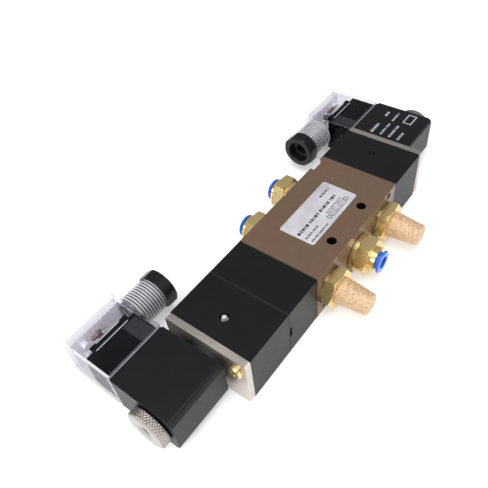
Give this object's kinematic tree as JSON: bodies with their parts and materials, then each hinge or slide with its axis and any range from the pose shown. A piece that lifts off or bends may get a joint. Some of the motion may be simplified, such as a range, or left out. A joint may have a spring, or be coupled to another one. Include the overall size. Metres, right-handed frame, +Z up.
{
  "type": "solenoid directional valve",
  "caption": "Solenoid directional valve: flat ported body, spring housing, pilot caps, a coil and clear cable connector at each end, tube fittings and exhaust silencers.",
  "frame": {"origin": "centre of the body's underside, on the face that a panel or bracket meets", "axes": "+X along the spool from the spring housing end to the plain end, -Y towards the supply and exhaust ports, +Y towards the working ports and connectors, +Z up through the label"},
  "size_m": [0.2222, 0.0922, 0.0272],
  "materials": {
    "body_anodised": "brown anodised, satin",
    "black_moulding": "fine moulded black plastic",
    "black_connector": "black moulded plastic, semi-gloss",
    "clear_plastic": "clear moulded plastic",
    "nickel": "nickel plate",
    "steel": "turned steel",
    "brass": "polished brass",
    "sintered_bronze": "sintered bronze granules",
    "blue_plastic": "blue moulded plastic",
    "label": "printed foil label",
    "white_plastic": "white moulded plastic",
    "rubber": "moulded rubber",
    "copper": "enamelled copper wire",
    "circuit_board": "white lacquered board"
  },
  "bodies": {
    "valve": {"valve_body": "body_anodised", "name_label": "label", "body_gaskets": "rubber", "housing_gasket": "rubber", "spring_housing": "black_moulding", "pilot_cap_near": "black_moulding", "pilot_cap_far": "black_moulding", "centring_spring": "steel", "spring_seats": "steel", "assembly_screws": "brass", "mounting_plate_near": "nickel", "mounting_plate_far": "nickel", "armature_tubes": "steel", "fixed_cores": "steel", "tube_seals": "rubber", "plunger_spring_near": "steel", "plunger_spring_far": "steel", "coil_seals": "rubber", "coil_near": "black_moulding", "coil_far": "black_moulding", "coil_bobbins": "white_plastic", "coil_windings": "copper", "coil_nut_near": "nickel", "coil_nut_far": "nickel", "coil_terminals": "nickel", "connector_gaskets": "white_plastic", "connector_insert_near": "black_connector", "connector_insert_far": "black_connector", "connector_housing_near": "clear_plastic", "connector_housing_far": "clear_plastic", "circuit_boards": "circuit_board", "gland_tube_near": "clear_plastic", "gland_tube_far": "clear_plastic", "connector_screws": "nickel", "gland_grommets": "rubber", "gland_washers": "black_connector", "gland_nut_near": "black_connector", "gland_nut_far": "black_connector", "override_spring_near": "steel", "override_spring_far": "steel", "fitting_p": "brass", "fitting_a": "brass", "fitting_b": "brass", "fitting_seals": "rubber", "silencer_base_near": "brass", "silencer_base_far": "brass", "silencer_element_near": "sintered_bronze", "silencer_element_far": "sintered_bronze"},
    "spool": {"spool": "steel", "spool_seals": "rubber", "piston_near": "nickel", "piston_far": "nickel", "piston_seals": "rubber"},
    "plunger_near": {"plunger_near": "steel"},
    "plunger_far": {"plunger_far": "steel"},
    "override_near": {"override_button_near": "white_plastic"},
    "override_far": {"override_button_far": "black_connector"},
    "collet_p": {"collet_p": "blue_plastic"},
    "collet_a": {"collet_a": "blue_plastic"},
    "collet_b": {"collet_b": "blue_plastic"}
  },
  "joints": [
    {"name": "spool_shift", "type": "slide", "parent": "valve", "child": "spool", "axis": [1, 0, 0], "range_m": [-0.003, 0.003], "stiffness_N_per_m": 1500, "deforming": ["centring_spring", "spring_seats"]},
    {"name": "plunger_near_lift", "type": "slide", "parent": "valve", "child": "plunger_near", "axis": [-1, 0, 0], "range_m": [0, 0.0018], "stiffness_N_per_m": 500, "springref_m": -0.003, "deforming": ["plunger_spring_near"]},
    {"name": "plunger_far_lift", "type": "slide", "parent": "valve", "child": "plunger_far", "axis": [1, 0, 0], "range_m": [0, 0.0018], "stiffness_N_per_m": 500, "springref_m": -0.003, "deforming": ["plunger_spring_far"]},
    {"name": "override_near_press", "type": "slide", "parent": "valve", "child": "override_near", "axis": [0, 0, -1], "range_m": [0, 0.0015], "stiffness_N_per_m": 300, "springref_m": -0.001, "deforming": ["override_spring_near"]},
    {"name": "override_far_press", "type": "slide", "parent": "valve", "child": "override_far", "axis": [0, 0, -1], "range_m": [0, 0.0015], "stiffness_N_per_m": 300, "springref_m": -0.001, "deforming": ["override_spring_far"]},
    {"name": "collet_p_press", "type": "slide", "parent": "valve", "child": "collet_p", "axis": [0, 1, 0], "range_m": [0, 0.001], "stiffness_N_per_m": 400, "springref_m": -0.0005},
    {"name": "collet_a_press", "type": "slide", "parent": "valve", "child": "collet_a", "axis": [0, -1, 0], "range_m": [0, 0.001], "stiffness_N_per_m": 400, "springref_m": -0.0005},
    {"name": "collet_b_press", "type": "slide", "parent": "valve", "child": "collet_b", "axis": [0, -1, 0], "range_m": [0, 0.001], "stiffness_N_per_m": 400, "springref_m": -0.0005}
  ]
}
